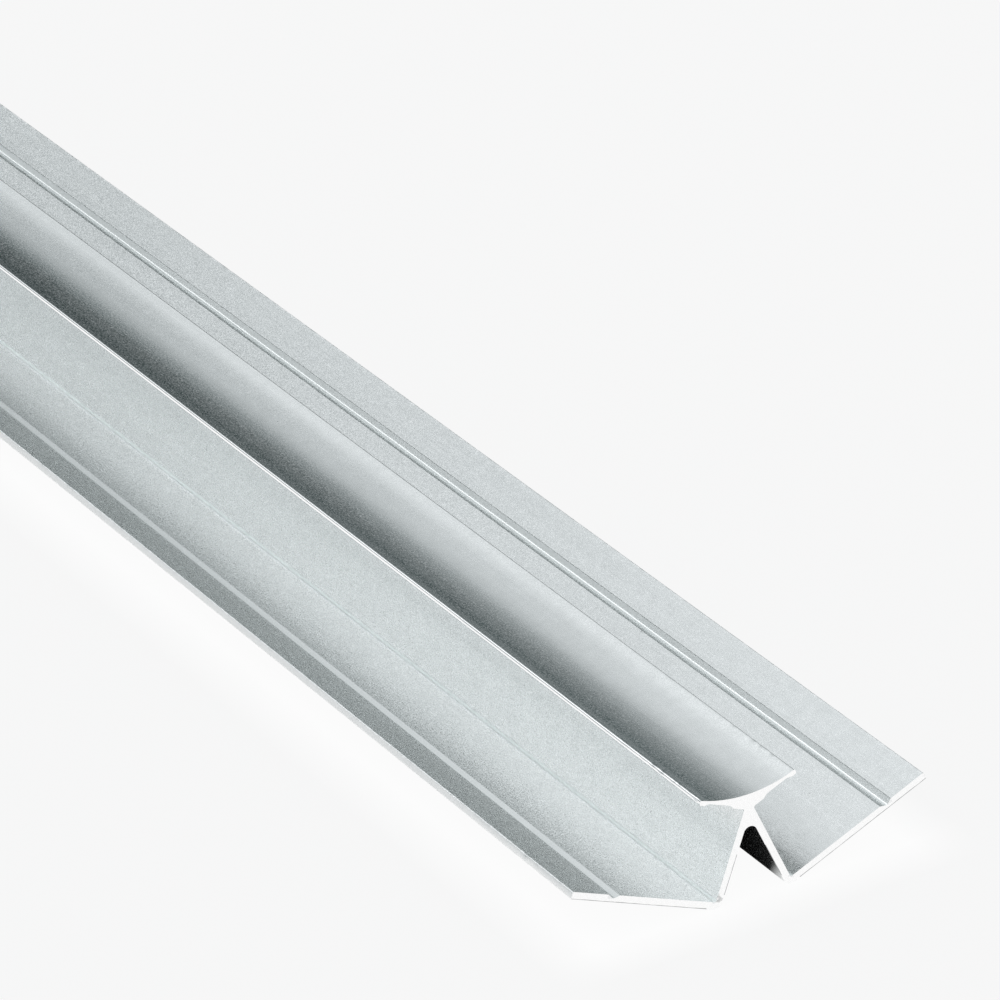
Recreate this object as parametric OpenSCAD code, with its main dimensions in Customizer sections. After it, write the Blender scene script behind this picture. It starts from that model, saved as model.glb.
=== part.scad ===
// Cove corner profile for wall panels: one extruded bar, cut square at both ends.
// Two flanges lie on two walls that meet at an obtuse inside corner. A leg stands square
// on each flange, and the legs lean together into a neck that carries a coved cap, so a
// panel edge slides into the slot between flange and cap on either side.
// The bar lies along X and stands on the two feet, with its cove facing up.

/* [Stock] */
// Length of the bar
bar_length = 2450; // [300:10:6000]
// Wall thickness of the flanges and the legs
wall_t = 0.9; // [0.6:0.05:1.4]

/* [Corner] */
// Angle between the two walls, measured inside the room
corner_angle = 135; // [125:1:145]

/* [Panel slot] */
// Thickness of the wall panel
panel_t = 11; // [6:0.5:20]
// Room left in the slot for the panel's tolerance and sealant
panel_play = 0.5; // [0.2:0.1:1]
// Thickness of the neck where both legs meet the cap
neck_w = 1.2; // [1:0.1:2]

/* [Flange] */
// Width of the flange from the leg to its free edge
flange_w = 19.8; // [17.8:0.2:40]
// Distance of the drill guide groove from the leg
groove_at = 14.1; // [6:0.1:16]
// Depth of the drill guide groove
groove_d = 0.4; // [0.2:0.05:0.45]
// Angle between the sides of the drill guide groove
groove_angle = 120; // [90:5:130]
// Radius at the bottom of the drill guide groove
groove_r = 0.4; // [0.1:0.05:0.5]

/* [Cap] */
// Reach of the cap over the panel, measured from the leg
cap_reach = 6.35; // [5:0.05:8]
// Thickness of the cap's lip
lip_t = 0.6; // [0.5:0.05:0.9]
// Radius of the hollow face of the cap
cove_r = 17; // [14:0.5:40]
// Width of the land beside the leg that the panel face meets
land_w = 1.5; // [0.8:0.1:1.8]
// Width of the bead along the lip that the panel face meets
bead_w = 0.7; // [0.4:0.05:1]
// Depth of the sealant relief between land and bead
relief_d = 0.3; // [0.1:0.05:0.4]
// Length of the slope at either side of the sealant relief
relief_ramp = 0.6; // [0.3:0.05:0.8]

/* [Edges] */
// Outer radius of the foot, where flange turns into leg
foot_r = 1; // [0.4:0.1:1.6]
// Fillet between flange and leg, inside the slot
root_r = 0.25; // [0.1:0.05:0.6]
// Fillet between leg and land, inside the slot
throat_r = 0.25; // [0.1:0.05:0.6]
// Radius at the top of the gap between the legs
crotch_r = 0.9; // [0.4:0.1:1.4]
// Radius along both corners of the flange's free edge
tip_r = 0.15; // [0.05:0.05:0.4]
// Radius along both corners of the cap's lip
nose_r = 0.2; // [0.05:0.05:0.25]

/* [Hidden] */
// Colour of satin anodised aluminium
anodised = [0.79, 0.81, 0.81];
// How far a cut or a fillet reaches past the faces that it meets
overrun = 0.05;
// How far a round dips into the faces that it runs into, so that it always meets them
dip = 0.0005;
$fn = 64;

// Lean of each flange from level, and of each leg from upright
tilt = (180 - corner_angle) / 2;
// Clear height of the slot, square to the flange
slot_h = panel_t + panel_play;
// Distance of the slot's inner corner from the middle of the bar
foot_y = neck_w / 2 + slot_h * sin(tilt);
// Height of the slot's inner corner above the floor that the feet stand on
foot_lift = foot_r - (foot_r - wall_t) * (sin(tilt) + cos(tilt));
// Distance of the lip's upper corner from the middle of the bar
lip_y = foot_y + cap_reach * cos(tilt) - (slot_h + lip_t) * sin(tilt);
// Height of the lip's upper corner above the slot's inner corner
lip_z = cap_reach * sin(tilt) + (slot_h + lip_t) * cos(tilt);
// Height of the centre of the cove, which runs from lip to lip, above the slot's inner corner
cove_z = lip_z + sqrt(cove_r * cove_r - lip_y * lip_y);
// The cove's centre, in the frame of a wall
cove_on_wall = [cove_z * sin(tilt) - foot_y * cos(tilt), cove_z * cos(tilt) + foot_y * sin(tilt)];
// The point in the middle of the neck that is level with the land, in the frame of a wall
neck_on_wall = [-neck_w / 2 / cos(tilt), slot_h];

function direction(angle) = [cos(angle), sin(angle)];

// Places its children on the right-hand wall: x runs along the flange away from the leg,
// y out of the wall, and the origin is the slot's inner corner.
module on_wall() {
    translate([foot_y, foot_lift]) rotate(tilt) children();
}

module both_sides() {
    children();
    mirror([1, 0]) children();
}

// The web between a circle and the corner of its two tangents, which touch it in the
// directions first and last. Added to an inside corner it is a fillet, and taken from an
// outside corner it leaves a round.
module corner_web(centre, radius, first, last) {
    reach = radius + overrun;
    middle = (first + last) / 2;
    difference() {
        polygon([
            centre,
            centre + reach * direction(first),
            centre + reach / cos((last - first) / 2) * direction(middle),
            centre + reach * direction(last)
        ]);
        translate(centre) circle(radius + dip);
    }
}

// Square-edged flange, on its wall.
module flange_blank() {
    translate([-wall_t, -wall_t]) square([wall_t + flange_w, wall_t]);
}

// Leg from the back of the flange to the inside of the cap, on its wall.
module leg_blank() {
    translate([-wall_t, -wall_t]) square([wall_t, wall_t + slot_h + relief_d]);
}

// Half of the cap up to the middle of the bar, on its wall, with land, relief and bead
// along its underside. The cove is cut from it afterwards.
module cap_blank() {
    cap_top = cove_on_wall[1] - slot_h;
    past_middle = [-overrun, 0];
    polygon([
        neck_on_wall + past_middle,
        [land_w, slot_h],
        [land_w + relief_ramp, slot_h + relief_d],
        [cap_reach - bead_w - relief_ramp, slot_h + relief_d],
        [cap_reach - bead_w, slot_h],
        [cap_reach, slot_h],
        [cap_reach, slot_h + cap_top],
        neck_on_wall + past_middle + cap_top * direction(90 - tilt) / cos(tilt)
    ]);
}

// Fillets inside the slot, on its wall.
module slot_fillets() {
    corner_web([root_r, root_r], root_r, 180, 270);
    corner_web([throat_r, slot_h - throat_r], throat_r, 90, 180);
}

// Fillet that rounds the top of the gap between the legs.
module crotch_fillet() {
    gap_top = (foot_y * cos(tilt) - wall_t) / sin(tilt);
    centre = [0, foot_lift + gap_top - crotch_r / sin(tilt)];
    corner_web(centre, crotch_r, tilt, 180 - tilt);
}

// Drill guide along the flange, a wide V with a rounded bottom, on its wall.
module drill_groove() {
    half_angle = groove_angle / 2;
    bottom = [groove_at, groove_r - groove_d];
    point_d = groove_r / sin(half_angle) - bottom[1];
    side = (point_d + overrun) * tan(half_angle);
    difference() {
        polygon([
            [groove_at, -point_d],
            [groove_at + side, overrun],
            [groove_at - side, overrun]
        ]);
        corner_web(bottom, groove_r, half_angle - 180, -half_angle);
    }
}

// Rounds along the foot, the flange's free edge and the cap's lip, on their wall.
module edge_rounds() {
    heel = foot_r - wall_t;
    corner_web([heel, heel], foot_r, 180, 270);
    corner_web([flange_w - tip_r, -tip_r], tip_r, 0, 90);
    corner_web([flange_w - tip_r, tip_r - wall_t], tip_r, -90, 0);
    corner_web([cap_reach - nose_r, slot_h + nose_r], nose_r, -90, 0);
    lip_round();
}

// Round between the cap's lip and its cove, which both touch it.
module lip_round() {
    x = cap_reach - nose_r;
    to_cove = acos((cove_on_wall[0] - x) / (cove_r + nose_r));
    centre = [x, cove_on_wall[1] - (cove_r + nose_r) * sin(to_cove)];
    corner_web(centre, nose_r, 0, to_cove);
}

module cove() {
    translate([0, foot_lift + cove_z]) circle(cove_r, $fn = 180);
}

// Cross-section of the bar: across to the right, up to the top.
module section() {
    difference() {
        union() {
            both_sides() on_wall() {
                flange_blank();
                leg_blank();
                cap_blank();
                slot_fillets();
            }
            crotch_fillet();
        }
        both_sides() on_wall() {
            edge_rounds();
            drill_groove();
        }
        cove();
    }
}

module corner_profile() {
    color(anodised) rotate([90, 0, 90]) linear_extrude(bar_length, center = true) section();
}

corner_profile();
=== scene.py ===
# %% [markdown]
# # A cove corner profile in satin aluminium
# The object is one bar of extruded aluminium, the trim that joins two wall panels in an obtuse
# inside corner. The imported CAD model is loaded first, because it fixes where everything is.

# %% Load the imported model
import math

import bpy
from mathutils import Matrix, Vector


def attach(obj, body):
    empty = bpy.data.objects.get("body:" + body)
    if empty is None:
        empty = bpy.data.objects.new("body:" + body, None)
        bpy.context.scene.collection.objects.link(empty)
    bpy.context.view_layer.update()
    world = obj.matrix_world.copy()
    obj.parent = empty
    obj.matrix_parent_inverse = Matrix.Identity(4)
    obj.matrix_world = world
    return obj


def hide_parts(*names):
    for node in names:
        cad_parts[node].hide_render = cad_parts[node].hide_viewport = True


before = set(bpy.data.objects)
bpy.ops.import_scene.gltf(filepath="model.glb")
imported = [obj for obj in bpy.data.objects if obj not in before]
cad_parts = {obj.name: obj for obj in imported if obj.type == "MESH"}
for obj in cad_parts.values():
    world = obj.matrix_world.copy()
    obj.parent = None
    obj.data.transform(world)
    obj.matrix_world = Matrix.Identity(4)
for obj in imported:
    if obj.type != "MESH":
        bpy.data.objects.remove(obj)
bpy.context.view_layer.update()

# %% [markdown]
# ## The sizes of the section
# An extruded bar is one flat drawing, pulled out along its length. These are the sizes of that
# drawing in millimetres, the same as in the part's own source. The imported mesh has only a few
# flat steps around each curve, so the section is drawn again here with smooth arcs.

# %% Sizes of the section in millimetres
bar_length = 2450
corner_angle = 135
wall_t = 0.9
slot_h = 11.5
neck_w = 1.2
flange_w = 19.8
groove_at = 14.1
groove_d = 0.4
groove_angle = 120
groove_r = 0.4
cap_reach = 6.35
lip_t = 0.6
cove_r = 17
land_w = 1.5
bead_w = 0.7
relief_d = 0.3
relief_ramp = 0.6
foot_r = 1
root_r = 0.25
throat_r = 0.25
crotch_r = 0.9
tip_r = 0.15
nose_r = 0.2
print("bar", bar_length, "mm long with walls of", wall_t, "mm")

# %% [markdown]
# ## Places that follow from the sizes
# Both flanges lean by half of what the corner lacks to a straight line. From that lean follow
# the places of the feet, of the lips and of the centre of the cove, so none of them is measured
# by hand and all of them move together when a size changes.

# %% Feet, lips and cove
tilt = (180 - corner_angle) / 2
lean_sin = math.sin(math.radians(tilt))
lean_cos = math.cos(math.radians(tilt))
foot_y = neck_w / 2 + slot_h * lean_sin
foot_lift = foot_r - (foot_r - wall_t) * (lean_sin + lean_cos)
lip_y = foot_y + cap_reach * lean_cos - (slot_h + lip_t) * lean_sin
lip_z = cap_reach * lean_sin + (slot_h + lip_t) * lean_cos
cove_z = lip_z + math.sqrt(cove_r ** 2 - lip_y ** 2)
cove_on_wall = (cove_z * lean_sin - foot_y * lean_cos, cove_z * lean_cos + foot_y * lean_sin)
print("each flange leans", tilt, "degrees; the lip stands", round(lip_z + foot_lift, 3), "mm high")

# %% [markdown]
# ## Drawing one half of the section
# The drawing runs from the middle of the cove over the lip, into the panel slot, out along the
# flange, back along the wall and up between the legs. A flange leans, so its points are
# written as if it lay flat, and one function leans them all. The other half is a mirror image.

# %% Arcs and the lean of a flange
def arc(centre, radius, first, last, steps):
    turns = [math.radians(first + (last - first) * i / steps) for i in range(steps + 1)]
    return [(centre[0] + radius * math.cos(t), centre[1] + radius * math.sin(t)) for t in turns]


def lean(points):
    return [(foot_y + x * lean_cos - y * lean_sin, foot_lift + x * lean_sin + y * lean_cos)
            for x, y in points]


nose_x = cap_reach - nose_r
to_cove = math.degrees(math.acos((cove_on_wall[0] - nose_x) / (cove_r + nose_r)))
nose_y = cove_on_wall[1] - (cove_r + nose_r) * math.sin(math.radians(to_cove))
half_v = groove_angle / 2
groove_y = groove_r - groove_d
groove_side = (groove_r / math.sin(math.radians(half_v)) - groove_y) * math.tan(math.radians(half_v))
heel = foot_r - wall_t
crotch_z = foot_lift + (foot_y * lean_cos - wall_t - crotch_r) / lean_sin
print("cove meets the nose at", round(to_cove, 1), "degrees")
print("groove", round(2 * groove_side, 2), "mm wide")

# %% The outline of the section
cove = arc((0, foot_lift + cove_z), cove_r, 270, to_cove + tilt + 180, steps=18)
lip = (arc((nose_x, nose_y), nose_r, to_cove, 0, steps=4)
       + arc((nose_x, slot_h + nose_r), nose_r, 0, -90, steps=4))
underside = [(cap_reach - bead_w, slot_h),
             (cap_reach - bead_w - relief_ramp, slot_h + relief_d),
             (land_w + relief_ramp, slot_h + relief_d),
             (land_w, slot_h)]
slot = (arc((throat_r, slot_h - throat_r), throat_r, 90, 180, steps=5)
        + arc((root_r, root_r), root_r, 180, 270, steps=5))
groove = ([(groove_at - groove_side, 0)]
          + arc((groove_at, groove_y), groove_r, half_v - 180, -half_v, steps=6)
          + [(groove_at + groove_side, 0)])
tip = (arc((flange_w - tip_r, -tip_r), tip_r, 90, 0, steps=4)
       + arc((flange_w - tip_r, tip_r - wall_t), tip_r, 0, -90, steps=4))
foot = arc((heel, heel), foot_r, 270, 180, steps=10)
crotch = arc((0, crotch_z), crotch_r, tilt, 90, steps=9)
right_half = cove[:-1] + lean(lip + underside + slot + groove + tip + foot) + crotch
left_half = [(-y, z) for y, z in reversed(right_half[1:-1])]
outline = right_half + left_half
print("outline of", len(outline), "points")

# %% [markdown]
# ## Joining nodes with Python
# Node trees are easier to read as sums than as rows of links. Each output socket is wrapped in
# a small class, and an operator between two of them adds a Math node. Every other node comes
# from one function that sets the node's options first and then its sockets.

# %% A wrapper for sockets
class Wire:
    def __init__(self, socket):
        self.socket = socket
        self.tree = socket.id_data

    def math(self, operation, *others, clamp=False):
        return add(self.tree, "ShaderNodeMath", {"operation": operation, "use_clamp": clamp},
                   dict(enumerate((self,) + others)))

    def __add__(self, other):
        return self.math("ADD", other)

    def __sub__(self, other):
        return self.math("SUBTRACT", other)

    def __rsub__(self, other):
        return add(self.tree, "ShaderNodeMath", {"operation": "SUBTRACT"}, {0: other, 1: self})

    def __mul__(self, other):
        return self.math("MULTIPLY", other)

    def __truediv__(self, other):
        return self.math("DIVIDE", other)

    def __pow__(self, other):
        return self.math("POWER", other)

    def __gt__(self, other):
        return self.math("GREATER_THAN", other)

    def __lt__(self, other):
        return self.math("LESS_THAN", other)

    def __abs__(self):
        return self.math("ABSOLUTE")

    __radd__ = __add__
    __rmul__ = __mul__


print("sockets can be joined by + - * / ** < > and abs")


# %% One function for every other node
def add(tree, kind, settings=None, sockets=None, output=0):
    node = tree.nodes.new(kind)
    for name, value in (settings or {}).items():
        if name == "stops":
            elements = node.color_ramp.elements
            while len(elements) < len(value):
                elements.new(1)
            for element, (position, colour) in zip(elements, value):
                element.position = position
                element.color = colour
        else:
            setattr(node, name, value)
    for name, value in (sockets or {}).items():
        if isinstance(value, Wire):
            tree.links.new(value.socket, node.inputs[name])
        else:
            node.inputs[name].default_value = value
    return Wire(node.outputs[output]) if node.outputs else node


def blend(tree, share, first, second):
    sockets = {"Factor": share, 6: first, 7: second}
    return add(tree, "ShaderNodeMix", {"data_type": "RGBA"}, sockets, output=2)


def fade(value, low, high):
    sockets = {"Value": value, "From Min": low, "From Max": high}
    return add(value.tree, "ShaderNodeMapRange", {"clamp": True}, sockets)


print("blend mixes two colours, and fade turns a range of values into 0 to 1")

# %% [markdown]
# ## The finish: satin anodised aluminium
# The bar is etched to a fine matt grain before it is anodised, the die leaves faint lines along
# its length, and the bath leaves soft clouds. All are too small to model, so they are noise in
# the material. The noise for the die lines is squeezed along the bar, which draws it out into
# streaks. Every field reads the bar's own coordinates, so nothing slides when the view changes.
# Noise runs about its middle, 0.5, and swing says how far it is above or below.

# %% Fields of grain, die lines and clouds
millimetre = 0.001
finish = bpy.data.materials.new("satin_anodised")
finish.use_nodes = True
metal = finish.node_tree
metal.nodes.clear()
place = add(metal, "ShaderNodeTexCoord", output="Object")


def noise(scale, detail=2, stretch=1):
    where = add(metal, "ShaderNodeMapping", {}, {"Vector": place, "Scale": (1 / stretch, 1, 1)})
    return add(metal, "ShaderNodeTexNoise", {}, {"Vector": where, "Scale": scale, "Detail": detail})


def swing(field):
    return field - 0.5


grain = noise(4800)
mottle = noise(700, detail=3)
clouds = noise(70, detail=3, stretch=3)
die_lines = noise(2300, detail=3, stretch=160)
hairlines = noise(3600, detail=1, stretch=700)
print("surface fields from", len(metal.nodes), "nodes")

# %% [markdown]
# ## Knowing where on the section a point is
# Wear, painted highlights and painted shade follow the edges of the section. A point's place is
# turned back into the flat drawing of one flange: how far out it is from the leg, and how high
# above the flange. Both come from the sizes above, so a mask for the lip or for the free edge is
# one comparison. Widths of wear and of the painted marks are in millimetres.

# %% Distance from the leg and height above the flange
across = add(metal, "ShaderNodeSeparateXYZ", {}, {0: place}, output="Y")
above = add(metal, "ShaderNodeSeparateXYZ", {}, {0: place}, output="Z")
from_middle = abs(across) / millimetre - foot_y
from_floor = above / millimetre - foot_lift
reach = from_middle * lean_cos + from_floor * lean_sin
height = from_floor * lean_cos - from_middle * lean_sin
print("free edge at", flange_w, "mm and lip at", cap_reach, "mm from the leg")

# %% Worn lips and free edges, where a highlight is also painted
rim_w = 0.2
nose_w = 0.16
full_wear = 0.05
ragged = swing(mottle) * 0.9 + swing(grain) * 0.5
rim = fade(reach + ragged * 0.5, flange_w - rim_w, flange_w - full_wear)
on_lip = (height > slot_h - nose_r) * (reach < cap_reach + 1)
nose = fade(reach + ragged * 0.15, cap_reach - nose_w, cap_reach - full_wear) * on_lip
bare_edge_and_highlight = (rim * 0.6).math("MAXIMUM", nose)
print("masks for edges from", len(metal.nodes), "nodes")

# %% Inner corner, groove and underside of the cap
corner_highlight_w = 0.4
groove_margin = 0.1
groove_start = 0.03
# Where a highlight is painted along the inner corner.
corner_highlight_mask = fade(reach.math("MAXIMUM", height), corner_highlight_w, root_r) * (reach + height > 0)
in_groove = (abs(reach - groove_at) < groove_side) * (height > -groove_d - groove_margin)
scored = in_groove * (height < -groove_start)
outer_side = scored * (reach > groove_at + groove_margin)
by_relief = abs(height - slot_h - relief_d / 2) < relief_d
# Underside of the cap, which is painted darker as shade.
under_cap = by_relief * (reach > throat_r) * (reach < nose_x)
print("masks for corner, groove and cap from", len(metal.nodes), "nodes")

# %% [markdown]
# ## Dust and small marks
# A real bar is never quite clean: a few pale specks of dust lie on it, with some darker pits.
# Voronoi cells scatter points through space, and the surface shows one wherever it passes close
# by, so the specks are sparse and differ in size.

# %% Specks and pits
def specks(spacing, size, shift):
    where = add(metal, "ShaderNodeMapping", {}, {"Vector": place, "Location": (shift, shift, shift)})
    sockets = {"Vector": where, "Scale": 1 / (spacing * millimetre)}
    cell = add(metal, "ShaderNodeTexVoronoi", {}, sockets, output="Distance")
    return fade(cell * spacing, size, size * 0.6)


dust = specks(spacing=3.4, size=0.16, shift=0.37)
pits = specks(spacing=4.6, size=0.14, shift=0.91)
print("specks about every 3 to 5 mm, 0.3 mm wide at most")

# %% [markdown]
# ## The sawn ends
# The saw cuts through the coat, so the end faces are bare bright metal with the arcs that the
# blade leaves. The rings of a circle far outside the section give those arcs. Along the backs of
# flange and leg a thin dark line of painted shade marks the edge of each end, and one foot has a
# few ragged marks of burr.

# %% Arcs of the saw blade
blade_y = 140 * millimetre
blade_z = 50 * millimetre
mark_rate = 9 / millimetre
sawn = add(metal, "ShaderNodeAttribute", {"attribute_name": "sawn"}, output="Fac")
blade = ((across + blade_y) ** 2 + (above + blade_z) ** 2) ** 0.5
saw_marks = (blade * mark_rate + grain * 3).math("SINE") * 0.5 + 0.5
print("saw marks every", round(2 * math.pi / mark_rate / millimetre, 2), "mm")

# %% Painted shade line along the backs, and burr on one foot
shade_line_w = 0.1
shade_line_from = 1
shade_line_to = 6
steep = 9
foot_w = 1.2
flange_back = (height + wall_t).math("MAXIMUM", (shade_line_from - reach) * steep)
leg_part = ((shade_line_from - height) * steep).math("MAXIMUM", (height - shade_line_to) * steep)
leg_back = (reach + wall_t).math("MAXIMUM", leg_part)
to_back = flange_back.math("MINIMUM", leg_back)
# A thin line of painted shade along the backs of flange and leg.
edge_shade_line = fade(to_back + swing(mottle) * 0.12, shade_line_w, shade_line_w / 2)
foot_marks = fade(mottle, 0.55, 0.62) * (reach + height < foot_w) * (across < 0) * 0.5
shade_line_and_burr = (edge_shade_line * 0.8).math("MAXIMUM", foot_marks) * sawn
print("burr line", shade_line_w, "mm wide")

# %% [markdown]
# ## Colour, gloss and relief together
# The grain shows in three ways at once. It changes the colour a little, it changes the gloss,
# which makes it sparkle where the metal mirrors something dark, and it is a very low relief. The
# coat is worn off the lips, which are polished, and off the free edges, which are rougher, and
# both are also painted near white as a highlight. Inner corner and groove are painted paler as
# highlights, the outer side of the groove is rougher, and the underside of the cap is painted
# darker as shade.

# %% Colours of the metal
satin_dark = (0.702, 0.72, 0.717, 1)
satin_light = (0.872, 0.89, 0.887, 1)
hairline_pale = (0.92, 0.93, 0.93, 1)
pit_grey = (0.32, 0.33, 0.33, 1)
dust_white = (0.94, 0.94, 0.93, 1)
cap_shade_grey = (0.3, 0.32, 0.32, 1)
groove_highlight_pale = (0.93, 0.96, 0.955, 1)
bare_and_highlight_white = (0.98, 0.98, 0.98, 1)
corner_highlight_pale = (0.96, 0.99, 0.985, 1)
sawn_dark = (0.97, 0.97, 0.97, 1)
sawn_light = (1, 1, 1, 1)
shade_line_grey = (0.2, 0.21, 0.21, 1)
print("satin from", satin_dark[:3], "to", satin_light[:3])

# %% Layers of colour
tone = (swing(grain) * 0.6 + swing(mottle) * 0.7 + swing(die_lines) * 0.5
        + swing(clouds) * 0.4).math("ADD", 0.5, clamp=True)
anodised = blend(metal, tone, satin_dark, satin_light)
lined = blend(metal, fade(hairlines, 0.68, 0.74) * 0.3, anodised, hairline_pale)
pitted = blend(metal, pits * 0.7, lined, pit_grey)
dusted = blend(metal, dust * 0.8, pitted, dust_white)
# The underside of the cap is painted darker grey as shade.
with_cap_shade = blend(metal, under_cap * 0.6, dusted, cap_shade_grey)
# The groove is painted paler as a highlight.
with_groove_highlight = blend(metal, scored * 0.5, with_cap_shade, groove_highlight_pale)
# Worn bare edges, whose colour is also painted near white as a highlight.
worn_and_highlit = blend(metal, bare_edge_and_highlight * (0.85 + grain * 0.3), with_groove_highlight, bare_and_highlight_white)
# A highlight is painted pale along the inner corner.
with_corner_highlight = blend(metal, corner_highlight_mask * 0.9, worn_and_highlit, corner_highlight_pale)
raw = blend(metal, saw_marks * 0.5 + grain * 0.5, sawn_dark, sawn_light)
# The sawn ends get a thin line of painted shade along their backs, with a few burr marks on one foot.
colour = blend(metal, shade_line_and_burr, blend(metal, sawn, with_corner_highlight, raw), shade_line_grey)
print("colour from", len(metal.nodes), "nodes")

# %% Gloss, relief and the finished metal
mean_roughness = 0.23
sparkle = 0.7
wear_roughness = 0.12
relief_depth = 0.004 * millimetre
etched = mean_roughness + swing(grain) * (sparkle - scored * 0.5) + swing(die_lines) * 0.06
wear = dust + outer_side * 3.5 + rim * 2 + corner_highlight_mask * 5
roughness = etched * (1 - nose * 0.7) + wear * wear_roughness
skin = (grain + mottle * 0.3 + die_lines * 0.4) * (1 - sawn) * (1 - bare_edge_and_highlight)
relief = skin + saw_marks * sawn * 0.1
bumps = add(metal, "ShaderNodeBump", {}, {
    "Strength": 1, "Distance": relief_depth, "Height": relief})
satin = add(metal, "ShaderNodeBsdfPrincipled", {}, {
    "Base Color": colour, "Roughness": roughness, "Normal": bumps, "Metallic": 1})
add(metal, "ShaderNodeOutputMaterial", {}, {"Surface": satin})
print("finish with", len(metal.nodes), "nodes")

# %% [markdown]
# ## Pulling the bar through the die
# The press pushes hot metal through a die of this shape, and the bar comes out in one straight
# line. Geometry Nodes do the same: Curve to Mesh pulls the outline along a line. The rings of
# points stand close together near both sawn ends, where the edges get small nicks.

# %% Inputs of the tree that extrudes the bar
extrude = bpy.data.node_groups.new("extruded_bar", "GeometryNodeTree")
extrude.interface.new_socket("Bar", in_out="OUTPUT", socket_type="NodeSocketGeometry")
input_kinds = {
    "Section": "NodeSocketGeometry", "Bar length": "NodeSocketFloat", "Rings": "NodeSocketInt",
    "End spacing": "NodeSocketFloat", "Nick depth": "NodeSocketFloat",
    "Worn length": "NodeSocketFloat", "Finish": "NodeSocketMaterial"}
input_ids = {}
for name, kind in input_kinds.items():
    entry = extrude.interface.new_socket(name, in_out="INPUT", socket_type=kind)
    input_ids[name] = entry.identifier
given = add(extrude, "NodeGroupInput").socket.node
user = {socket.name: Wire(socket) for socket in given.outputs if socket.name}
print("inputs", ", ".join(user))

# %% Stations along the bar, and the outline pulled over them
half_length = user["Bar length"] * 0.5
line = add(extrude, "GeometryNodeMeshLine", {"mode": "END_POINTS"}, {
    "Count": user["Rings"], "Start Location": (-1, 0, 0), "Offset": (1, 0, 0)})
position = add(extrude, "GeometryNodeInputPosition")
share = add(extrude, "ShaderNodeSeparateXYZ", {}, {0: position})
from_end = 1 - abs(share)
even = user["End spacing"] * user["Rings"] / user["Bar length"]
inset = from_end * even + from_end ** 4 * (1 - even)
station = share.math("SIGN") * (1 - inset) * half_length
stations = add(extrude, "GeometryNodeSetPosition", {}, {
    "Geometry": line, "Position": add(extrude, "ShaderNodeCombineXYZ", {}, {"X": station})})
axis = add(extrude, "GeometryNodeMeshToCurve", {}, {"Mesh": stations})
upright = add(extrude, "GeometryNodeSetCurveNormal", {"mode": "Z_UP"}, {"Curve": axis})
section = add(extrude, "GeometryNodeMeshToCurve", {}, {"Mesh": user["Section"]})
pulled = add(extrude, "GeometryNodeCurveToMesh", {}, {
    "Curve": upright, "Profile Curve": section, "Fill Caps": True})
print("sweep with", len(extrude.nodes), "nodes")

# %% Nicks in the edges near both ends
knock_scale = 900
knock_low = 0.56
knock_high = 0.73
facing = add(extrude, "GeometryNodeInputNormal")
along = add(extrude, "ShaderNodeSeparateXYZ", {}, {0: position})
to_end = half_length - abs(along)
worn_edge = add(extrude, "GeometryNodeInputNamedAttribute", {"data_type": "FLOAT"}, {
    "Name": "worn_edge"})
knocks = add(extrude, "ShaderNodeTexNoise", {}, {
    "Vector": position, "Scale": knock_scale, "Detail": 2})
closeness = user["Worn length"] / (to_end + user["Worn length"])
nick = fade(knocks, knock_low, knock_high) * closeness * worn_edge
flat_facing = add(extrude, "ShaderNodeVectorMath", {"operation": "MULTIPLY"}, {
    0: facing, 1: (0, 1, 1)})
inwards = add(extrude, "ShaderNodeVectorMath", {"operation": "SCALE"}, {
    0: flat_facing, "Scale": nick * user["Nick depth"] * -1})
nicked = add(extrude, "GeometryNodeSetPosition", {}, {"Geometry": pulled, "Offset": inwards})
print("nicks added,", len(extrude.nodes), "nodes")

# %% Sawn ends, sharp edges and the end of the tree
crease_angle = math.radians(28)
end_face = abs(add(extrude, "ShaderNodeSeparateXYZ", {}, {0: facing})) > 0.9
per_face = {"data_type": "FLOAT", "domain": "FACE"}
marked = add(extrude, "GeometryNodeStoreNamedAttribute", per_face, {
    "Geometry": nicked, "Name": "sawn", "Value": end_face})
smooth = add(extrude, "GeometryNodeSetShadeSmooth", {}, {"Geometry": marked, "Shade Smooth": True})
corners = add(extrude, "GeometryNodeInputMeshEdgeAngle") > crease_angle
creased = add(extrude, "GeometryNodeSetShadeSmooth", {"domain": "EDGE"}, {
    "Geometry": smooth, "Selection": corners, "Shade Smooth": False})
realized = add(extrude, "GeometryNodeRealizeInstances", {}, {"Geometry": creased})
clad = add(extrude, "GeometryNodeSetMaterial", {}, {
    "Geometry": realized, "Material": user["Finish"]})
add(extrude, "NodeGroupOutput", {}, {0: clad})
print("extruding tree with", len(extrude.nodes), "nodes")

# %% [markdown]
# ## The finished bar
# The outline becomes a small mesh of edges, and the tree turns it into the bar. A plain mesh is
# taken from the result. Weighted normals then keep the wide flats flat where they meet the
# narrow arcs, because otherwise their reflections would bend near each edge.

# %% Pull the outline into a bar
drawing = bpy.data.meshes.new("section_outline")
drawing.from_pydata([(y * millimetre, -z * millimetre, 0) for y, z in outline],
                    [(i, (i + 1) % len(outline)) for i in range(len(outline))], [])
worn_points = set(lean(lip + tip))
worn = drawing.attributes.new("worn_edge", "FLOAT", "POINT")
worn.data.foreach_set("value", [float((abs(y), z) in worn_points) for y, z in outline])
press = bpy.data.objects.new("section_drawing", drawing)
bpy.context.scene.collection.objects.link(press)
extruder = press.modifiers.new("extrude", "NODES")
extruder.node_group = extrude
input_values = {
    "Bar length": bar_length * millimetre, "Rings": 401, "End spacing": 0.3 * millimetre,
    "Nick depth": 0.12 * millimetre, "Worn length": 8 * millimetre, "Finish": finish}
for name, value in input_values.items():
    extruder[input_ids[name]] = value
print("drawing with", sum(d.value > 0 for d in worn.data), "points on worn edges")

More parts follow.
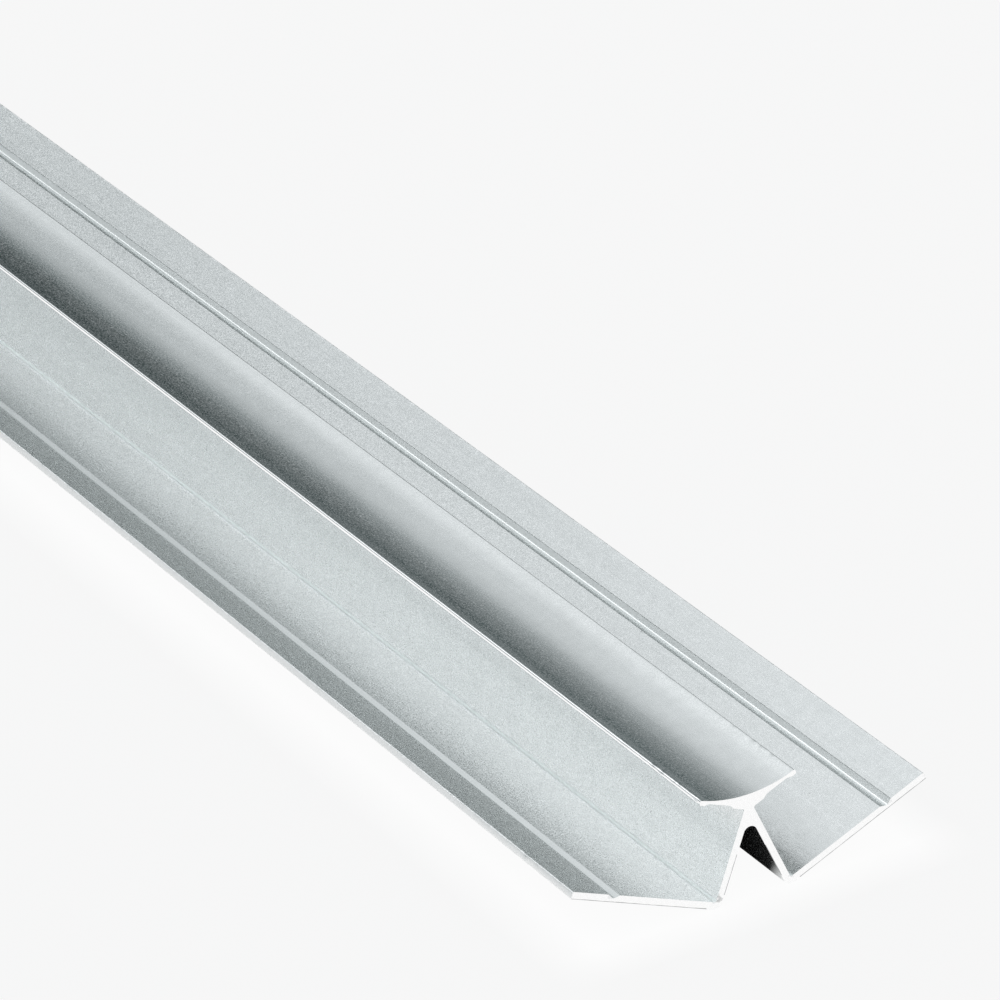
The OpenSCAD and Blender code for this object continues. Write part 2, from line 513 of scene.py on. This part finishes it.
# %% Keep it as a plain mesh with even normals
def plain_mesh(source):
    bpy.context.view_layer.update()
    evaluated = source.evaluated_get(bpy.context.evaluated_depsgraph_get())
    return bpy.data.meshes.new_from_object(evaluated)


bar = bpy.data.objects.new("satin_corner_bar", plain_mesh(press))
bpy.context.scene.collection.objects.link(bar)
bpy.data.objects.remove(press)
evened = bar.modifiers.new("even_flats", "WEIGHTED_NORMAL")
evened.mode = "FACE_AREA"
evened.keep_sharp = True
evened_mesh = plain_mesh(bar)
bar.modifiers.clear()
bar.data = evened_mesh
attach(bar, "root")
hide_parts("corner_profile")
print("bar of", len(bar.data.polygons), "faces in", [m.name for m in bar.data.materials])

# %% [markdown]
# ## The floor
# The bar lies on a white studio table that runs past the edge of every view. Most of the white
# is a glow that only the camera and reflections see, so the table looks white without more light
# on the bar, and the rest is plain paper that takes the shadow. Close to the bar the table is
# painted a little brighter, a painted pool of light as if the bar threw light back on it. No
# light gets under the bar, so there the glow is left out of reflections and reflections see the
# paper painted almost black as shade, which makes the gap between the legs black. The widths of
# both zones are in millimetres, from the bar's axis and past its ends.

# %% Table top
floor_size = 300
floor_mesh = bpy.data.meshes.new("studio_floor")
floor_corners = [(-1, -1), (1, -1), (1, 1), (-1, 1)]
floor_points = [(x * floor_size, y * floor_size, 0) for x, y in floor_corners]
floor_mesh.from_pydata(floor_points, [], [(0, 1, 2, 3)])
floor = bpy.data.objects.new("studio_floor", floor_mesh)
bpy.context.scene.collection.objects.link(floor)
white_table = bpy.data.materials.new("white_table")
white_table.use_nodes = True
paper = white_table.node_tree
paper.nodes.clear()
floor_mesh.materials.append(white_table)
print("floor", 2 * floor_size, "m wide")

# %% Zones of the table
shade_half = 22.5
shade_start = -0.5
shade_full = -4
glow_half = 28
glow_full = 21
glow_past = 7
floor_place = add(paper, "ShaderNodeTexCoord", output="Object")
floor_x = add(paper, "ShaderNodeSeparateXYZ", {}, {0: floor_place}, output="X")
floor_y = add(paper, "ShaderNodeSeparateXYZ", {}, {0: floor_place}, output="Y")
past_end = abs(floor_x) / millimetre - bar_length / 2
from_axis = abs(floor_y) / millimetre
under_bar = fade(past_end, shade_start, shade_full) * (from_axis < shade_half)
# A painted pool of light: the glow is brighter beside the bar.
light_pool_beside_bar = fade(from_axis, glow_half, glow_full) * fade(past_end, glow_past, 0)
print("brighter up to", glow_half, "mm from the axis")

# %% White of the table
camera_glow = 0.95
paper_white = (0.9, 0.9, 0.9, 1)
paper_shade = (0.06, 0.06, 0.06, 1)
far_white = (0.935, 0.935, 0.935, 1)
near_white = (1, 1, 1, 1)
seen = add(paper, "ShaderNodeLightPath", output="Is Camera Ray")
mirrored = add(paper, "ShaderNodeLightPath", output="Is Glossy Ray")
through = add(paper, "ShaderNodeLightPath", output="Is Transmission Ray")
glow_share = (seen + through) * camera_glow + mirrored * (1 - under_bar)
# Reflections see the paper under the bar painted almost black as shade.
paper_or_painted_shade = blend(paper, mirrored * under_bar, paper_white, paper_shade)
bright = blend(paper, light_pool_beside_bar.math("MAXIMUM", mirrored), far_white, near_white)
matt = add(paper, "ShaderNodeBsdfDiffuse", {}, {"Color": paper_or_painted_shade})
white = add(paper, "ShaderNodeEmission", {}, {"Color": bright, "Strength": 1})
table = add(paper, "ShaderNodeMixShader", {}, {0: glow_share, 1: matt, 2: white})
add(paper, "ShaderNodeOutputMaterial", {}, {"Surface": table})
print("table with", len(paper.nodes), "nodes")

# %% [markdown]
# ## Light
# Metal shows its surroundings, so the light is a room and not one lamp. Looking along the bar,
# the room is a half circle from the right horizon over the top to the left horizon, and each row
# below gives an angle on it and how bright the room is there. A dark wall on the right makes the
# dark side of the cove, a soft roof makes the bright faces, and a light bank left of the top
# reaches into the open slot. There are three sets of rows. One is for the room beside the bar. One
# is for its far end, which is darker, so that the bar fades with distance. One is for the room in
# front of the sawn end, which is seen most from the other side. Dim bands are a little cooler.

# %% How bright the room is, by angle in degrees
room_near = [
    (0, 0.34), (8, 0.46), (16, 0.05), (24, 0.27), (32, 0.30), (40, 0.43), (48, 0.55), (56, 0.82),
    (66, 0.95), (76, 0.90), (85, 1.25), (94, 0.80), (104, 0.92), (112, 1.85), (119, 2.60),
    (127, 1.75), (138, 0.32), (152, 0.52), (166, 0.46), (174, 0.64), (180, 0.92)]
room_far = [
    (0, 0.01), (32, 0.01), (40, 0.06), (48, 0.24), (56, 0.46), (66, 0.39), (76, 0.50), (85, 0.93),
    (94, 0.32), (104, 0.70), (112, 1.45), (119, 1.70), (127, 0.65), (138, 0.10), (166, 0.10),
    (174, 0.54), (180, 0.84)]
room_front = [
    (0, 0.75), (40, 0.60), (70, 0.85), (100, 1.00), (130, 1.00), (155, 0.55), (180, 0.80)]
print("bands of light:", len(room_near), "beside,", len(room_far), "far,", len(room_front), "in front")

# %% Direction of a ray in the room
world = bpy.data.worlds.new("studio")
bpy.context.scene.world = world
world.use_nodes = True
sky = world.node_tree
sky.nodes.clear()
direction = add(sky, "ShaderNodeTexCoord", output="Generated")
aim_x = add(sky, "ShaderNodeSeparateXYZ", {}, {0: direction}, output="X")
aim_y = add(sky, "ShaderNodeSeparateXYZ", {}, {0: direction}, output="Y")
aim_z = add(sky, "ShaderNodeSeparateXYZ", {}, {0: direction}, output="Z")
around = aim_z.math("ARCTAN2", aim_y) / math.pi
print("direction from", len(sky.nodes), "nodes")

# %% The room around the bar
less_red = 0.03
more_blue = 1.02
far_range = (-0.87, -0.72)
front_range = (-0.15, 0.35)


def room(rows):
    stops = []
    for degrees, level in rows:
        red = max(level - less_red, 0)
        stops.append((degrees / 180, (red, level, level * more_blue, 1)))
    return add(sky, "ShaderNodeValToRGB", {"stops": stops}, {"Fac": around})


def soft_step(low, high):
    return add(sky, "ShaderNodeMapRange", {"interpolation_type": "SMOOTHSTEP"}, {
        "Value": aim_x, "From Min": low, "From Max": high})


sides = blend(sky, soft_step(*far_range), room(room_far), room(room_near))
whole = blend(sky, soft_step(*front_range), sides, room(room_front))
glow = add(sky, "ShaderNodeBackground", {}, {"Color": whole, "Strength": 1})
add(sky, "ShaderNodeOutputWorld", {}, {"Surface": glow})
print("room with", len(sky.nodes), "nodes")

# %% [markdown]
# ## The camera
# The picture was taken with a long lens from above the sawn end, so the long edges run almost
# parallel. The camera is placed by what it should see: its direction and roll, and the distance
# and the pixel of one point on the bar's end, in the middle and level with the inner corners.

# %% Direction of the camera
image_side = 1000
focal_px = 7212.1
turn = math.radians(61.928)
rise = math.radians(26.7006)
roll = math.radians(-3.8862)
back = Vector((math.sin(turn) * math.cos(rise), -math.cos(turn) * math.cos(rise), math.sin(rise)))
flat_right = Vector((math.cos(turn), math.sin(turn), 0))
right = math.cos(roll) * flat_right + math.sin(roll) * back.cross(flat_right)
up = back.cross(right)
print("camera looks along", tuple(round(-c, 3) for c in back))

# %% Place of the camera
end_pixel = (753.275, 889.562)
end_depth = 0.819705
near_end = Vector((bar_length / 2, 0, foot_lift)) * millimetre
sideways = (end_pixel[0] - image_side / 2) / focal_px * end_depth
downwards = (end_pixel[1] - image_side / 2) / focal_px * end_depth
eye = near_end - right * sideways + up * downwards + back * end_depth
camera_data = bpy.data.cameras.new("photo_camera")
camera_data.lens = camera_data.sensor_width * focal_px / image_side
camera_data.clip_start = 0.05
camera_data.clip_end = 1000
camera = bpy.data.objects.new("photo_camera", camera_data)
camera.matrix_world = Matrix.Translation(eye) @ Matrix((right, up, back)).transposed().to_4x4()
bpy.context.scene.collection.objects.link(camera)
bpy.context.scene.camera = camera
bpy.context.scene.view_settings.view_transform = "Standard"
print("camera at", tuple(round(c, 4) for c in eye), "lens", round(camera_data.lens, 1))
